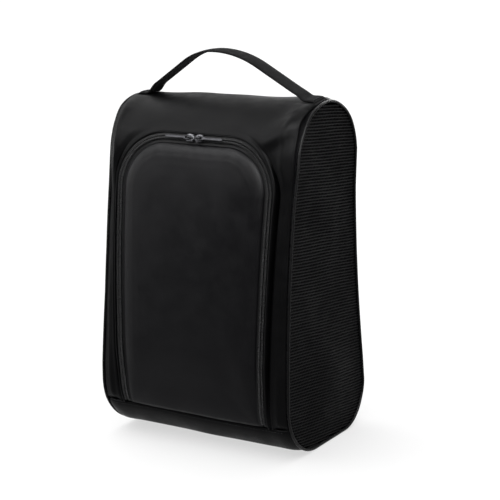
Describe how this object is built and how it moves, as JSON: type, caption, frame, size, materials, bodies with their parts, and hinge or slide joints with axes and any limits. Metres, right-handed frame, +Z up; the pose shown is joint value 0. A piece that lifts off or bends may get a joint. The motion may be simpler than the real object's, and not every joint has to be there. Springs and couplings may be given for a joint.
{
  "type": "golf shoe bag",
  "caption": "Upright soft shoe bag with a padded wrap-around shell, mesh sides, a zipped front panel that folds down and a webbing carry handle.",
  "frame": {"origin": "middle of the flat bottom that the bag stands on", "axes": "+Z up, -Y out of the front with the zip, +X to the right seen from the front"},
  "size_m": [0.23, 0.178, 0.4192],
  "materials": {
    "shell_fabric": "fine woven polyester, soft satin sheen",
    "lining_fabric": "plain woven nylon lining",
    "foam": "light open foam",
    "board": "matt extruded sheet",
    "side_mesh": "ribbed spacer mesh",
    "piping_fabric": "satin piping",
    "piping_core": "twisted cotton cord",
    "binding_tape": "ribbed binding tape",
    "webbing": "flat woven webbing",
    "thread": "bonded thread",
    "zip_tape": "herringbone zip tape",
    "zip_coil": "moulded nylon coil",
    "slider_metal": "black lacquer on die cast metal",
    "pull_metal": "black lacquer with bright worn edges"
  },
  "bodies": {
    "bag_body": {"front_panel": "shell_fabric", "back_panel": "shell_fabric", "base_panel": "shell_fabric", "front_foam": "foam", "back_foam": "foam", "base_board": "board", "front_lining": "lining_fabric", "back_lining": "lining_fabric", "base_lining": "lining_fabric", "side_mesh_left": "side_mesh", "side_mesh_right": "side_mesh", "seam_binding_left": "binding_tape", "seam_binding_right": "binding_tape", "piping_left": "piping_fabric", "piping_right": "piping_fabric", "piping_cord_left": "piping_core", "piping_cord_right": "piping_core", "door_gusset": "shell_fabric", "zip_tape_outer": "zip_tape", "zip_coil_outer": "zip_coil", "handle_foot_left": "webbing", "handle_foot_right": "webbing", "handle_tacks_left": "thread", "handle_tacks_right": "thread"},
    "door": {"door_panel": "shell_fabric", "door_foam": "foam", "door_lining": "lining_fabric", "door_binding": "binding_tape", "zip_tape_inner": "zip_tape", "zip_coil_inner": "zip_coil"},
    "slider_left": {"slider_left": "slider_metal"},
    "slider_right": {"slider_right": "slider_metal"},
    "pull_left": {"pull_left": "pull_metal"},
    "pull_right": {"pull_right": "pull_metal"},
    "handle": {"handle_strap": "webbing"}
  },
  "joints": [
    {"name": "door_fold", "type": "hinge", "parent": "bag_body", "child": "door", "pos_m": [0, -0.083, 0.036], "axis": [1, 0, 0], "range_deg": [0, 95]},
    {"name": "slider_left_travel", "type": "slide", "parent": "bag_body", "child": "slider_left", "axis": [-1, 0, 0], "range_m": [0, 0.025]},
    {"name": "slider_right_travel", "type": "slide", "parent": "bag_body", "child": "slider_right", "axis": [1, 0, 0], "range_m": [0, 0.029]},
    {"name": "pull_left_hinge", "type": "hinge", "parent": "slider_left", "child": "pull_left", "pos_m": [-0.0072, -0.0651, 0.33483], "axis": [0, 0.3987, 0.9171], "range_deg": [0, 85]},
    {"name": "pull_right_hinge", "type": "hinge", "parent": "slider_right", "child": "pull_right", "pos_m": [0.0032, -0.0651, 0.33483], "axis": [0, -0.3987, -0.9171], "range_deg": [0, 85]},
    {"name": "handle_swing", "type": "hinge", "parent": "bag_body", "child": "handle", "pos_m": [0, 0.005, 0.372], "axis": [1, 0, 0], "range_deg": [-40, 40]}
  ]
}
